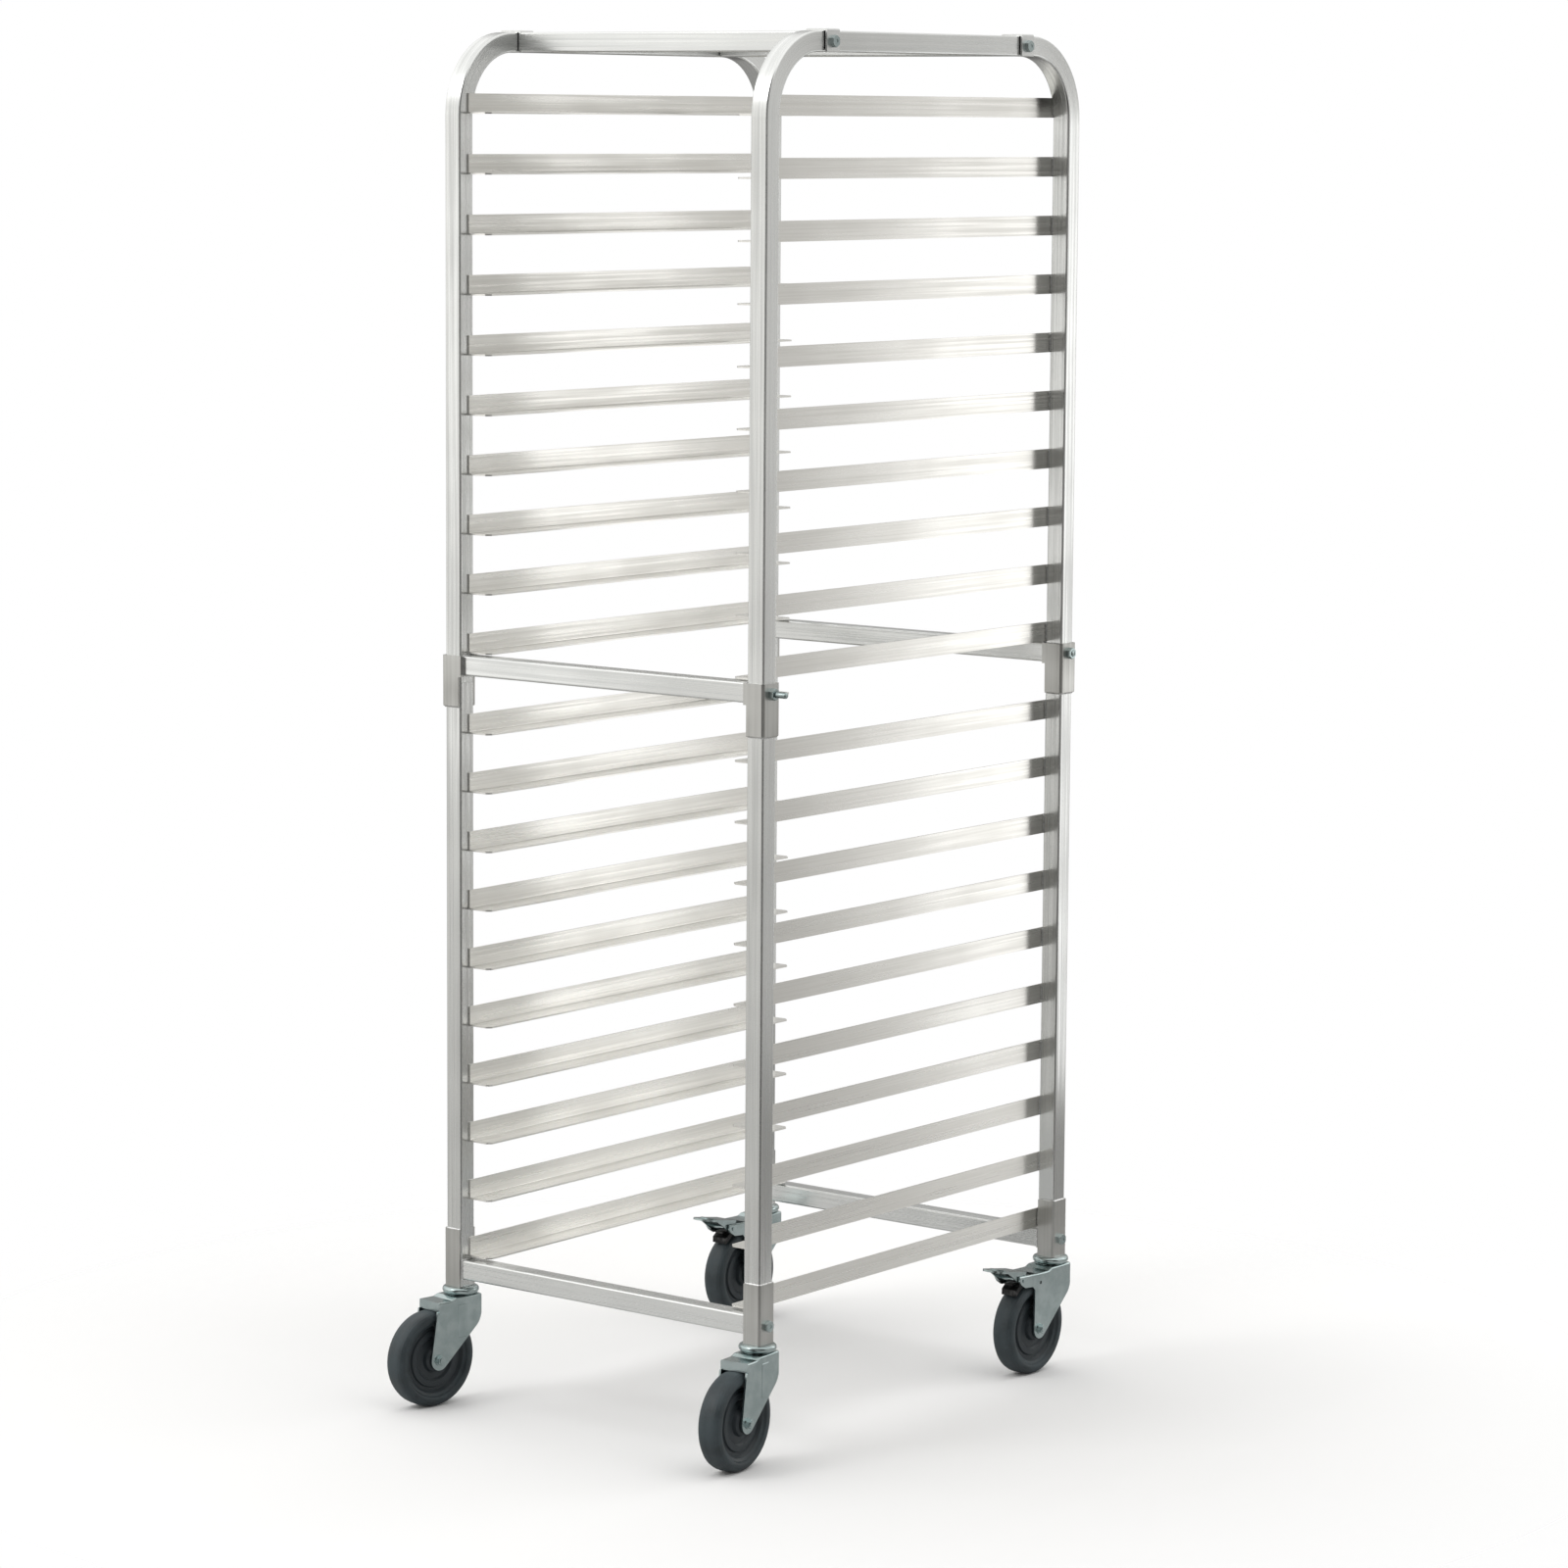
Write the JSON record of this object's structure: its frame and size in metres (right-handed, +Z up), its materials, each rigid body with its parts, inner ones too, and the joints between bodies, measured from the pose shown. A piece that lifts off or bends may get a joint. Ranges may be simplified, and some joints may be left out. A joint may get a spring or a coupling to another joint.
{
  "type": "sheet pan rack",
  "caption": "Tall open aluminium rack on swivel casters, with angle slides for full size sheet pans, rounded top hoops, bolted cross bars and two braked rear wheels.",
  "frame": {"origin": "on the floor under the centre of the four posts", "axes": "+Z up, +Y along the slides from the front (loading end) to the rear, +X to the right seen from the front"},
  "size_m": [0.5648, 0.7718, 1.767],
  "materials": {
    "frame_aluminium": "mill finish, lightly brushed along the tubes",
    "slide_aluminium": "extruded, fine lines along the length",
    "zinc_plate": "bright zinc plated steel",
    "tyre_rubber": "matt dark grey solid rubber",
    "wheel_core": "moulded dark grey plastic",
    "black_steel": "black oxide"
  },
  "bodies": {
    "rack": {"upper_hoop_left": "frame_aluminium", "upper_hoop_right": "frame_aluminium", "lower_post_front_left": "frame_aluminium", "lower_post_front_right": "frame_aluminium", "lower_post_rear_left": "frame_aluminium", "lower_post_rear_right": "frame_aluminium", "top_bar_front": "frame_aluminium", "top_bar_rear": "frame_aluminium", "mid_bar_front": "frame_aluminium", "mid_bar_rear": "frame_aluminium", "low_bar_front": "frame_aluminium", "low_bar_rear": "frame_aluminium", "mid_sleeves": "frame_aluminium", "low_sleeves": "frame_aluminium", "top_clips": "frame_aluminium", "top_bolts": "zinc_plate", "mid_bolts": "zinc_plate", "mid_nuts": "zinc_plate", "low_bolts": "zinc_plate", "caster_stems": "zinc_plate", "slides_01": "slide_aluminium", "slides_02": "slide_aluminium", "slides_03": "slide_aluminium", "slides_04": "slide_aluminium", "slides_05": "slide_aluminium", "slides_06": "slide_aluminium", "slides_07": "slide_aluminium", "slides_08": "slide_aluminium", "slides_09": "slide_aluminium", "slides_10": "slide_aluminium", "slides_11": "slide_aluminium", "slides_12": "slide_aluminium", "slides_13": "slide_aluminium", "slides_14": "slide_aluminium", "slides_15": "slide_aluminium", "slides_16": "slide_aluminium", "slides_17": "slide_aluminium", "slides_18": "slide_aluminium", "slides_19": "slide_aluminium", "slides_20": "slide_aluminium"},
    "swivel_front_left": {"caster_fork_front_left": "zinc_plate", "caster_axle_front_left": "zinc_plate"},
    "wheel_front_left": {"caster_tyre_front_left": "tyre_rubber", "caster_core_front_left": "wheel_core"},
    "swivel_front_right": {"caster_fork_front_right": "zinc_plate", "caster_axle_front_right": "zinc_plate"},
    "wheel_front_right": {"caster_tyre_front_right": "tyre_rubber", "caster_core_front_right": "wheel_core"},
    "swivel_rear_left": {"caster_fork_rear_left": "zinc_plate", "caster_axle_rear_left": "zinc_plate"},
    "wheel_rear_left": {"caster_tyre_rear_left": "tyre_rubber", "caster_core_rear_left": "wheel_core"},
    "brake_pedal_rear_left": {"brake_pedal_rear_left": "zinc_plate"},
    "brake_shoe_rear_left": {"brake_shoe_rear_left": "black_steel"},
    "swivel_rear_right": {"caster_fork_rear_right": "zinc_plate", "caster_axle_rear_right": "zinc_plate"},
    "wheel_rear_right": {"caster_tyre_rear_right": "tyre_rubber", "caster_core_rear_right": "wheel_core"},
    "brake_pedal_rear_right": {"brake_pedal_rear_right": "zinc_plate"},
    "brake_shoe_rear_right": {"brake_shoe_rear_right": "black_steel"}
  },
  "joints": [
    {"name": "swivel_front_left_turn", "type": "hinge", "parent": "rack", "child": "swivel_front_left", "pos_m": [-0.2458, -0.3173, 0.14], "axis": [0, 0, 1], "continuous": true},
    {"name": "wheel_front_left_spin", "type": "hinge", "parent": "swivel_front_left", "child": "wheel_front_left", "pos_m": [-0.25422, -0.3676, 0.0625], "axis": [0.9863, -0.165, 0], "continuous": true},
    {"name": "swivel_front_right_turn", "type": "hinge", "parent": "rack", "child": "swivel_front_right", "pos_m": [0.2458, -0.3173, 0.14], "axis": [0, 0, 1], "continuous": true},
    {"name": "wheel_front_right_spin", "type": "hinge", "parent": "swivel_front_right", "child": "wheel_front_right", "pos_m": [0.25024, -0.36811, 0.0625], "axis": [0.9962, 0.0872, 0], "continuous": true},
    {"name": "swivel_rear_left_turn", "type": "hinge", "parent": "rack", "child": "swivel_rear_left", "pos_m": [-0.2458, 0.3173, 0.14], "axis": [0, 0, 1], "continuous": true},
    {"name": "wheel_rear_left_spin", "type": "hinge", "parent": "swivel_rear_left", "child": "wheel_rear_left", "pos_m": [-0.2458, 0.2663, 0.0625], "axis": [1, 0, 0], "continuous": true},
    {"name": "brake_pedal_rear_left_press", "type": "hinge", "parent": "swivel_rear_left", "child": "brake_pedal_rear_left", "pos_m": [-0.2458, 0.2273, 0.134], "axis": [1, 0, 0], "range_deg": [0, 18]},
    {"name": "brake_shoe_rear_left_press", "type": "hinge", "parent": "swivel_rear_left", "child": "brake_shoe_rear_left", "pos_m": [-0.2458, 0.2503, 0.131], "axis": [1, 0, 0], "range_deg": [0, 5.4]},
    {"name": "swivel_rear_right_turn", "type": "hinge", "parent": "rack", "child": "swivel_rear_right", "pos_m": [0.2458, 0.3173, 0.14], "axis": [0, 0, 1], "continuous": true},
    {"name": "wheel_rear_right_spin", "type": "hinge", "parent": "swivel_rear_right", "child": "wheel_rear_right", "pos_m": [0.2458, 0.2663, 0.0625], "axis": [1, 0, 0], "continuous": true},
    {"name": "brake_pedal_rear_right_press", "type": "hinge", "parent": "swivel_rear_right", "child": "brake_pedal_rear_right", "pos_m": [0.2458, 0.2273, 0.134], "axis": [1, 0, 0], "range_deg": [0, 18]},
    {"name": "brake_shoe_rear_right_press", "type": "hinge", "parent": "swivel_rear_right", "child": "brake_shoe_rear_right", "pos_m": [0.2458, 0.2503, 0.131], "axis": [1, 0, 0], "range_deg": [0, 5.4]}
  ],
  "couplings": [
    {"joint": "brake_shoe_rear_left_press", "follows": "brake_pedal_rear_left_press", "ratio": 0.3},
    {"joint": "brake_shoe_rear_right_press", "follows": "brake_pedal_rear_right_press", "ratio": 0.3}
  ]
}
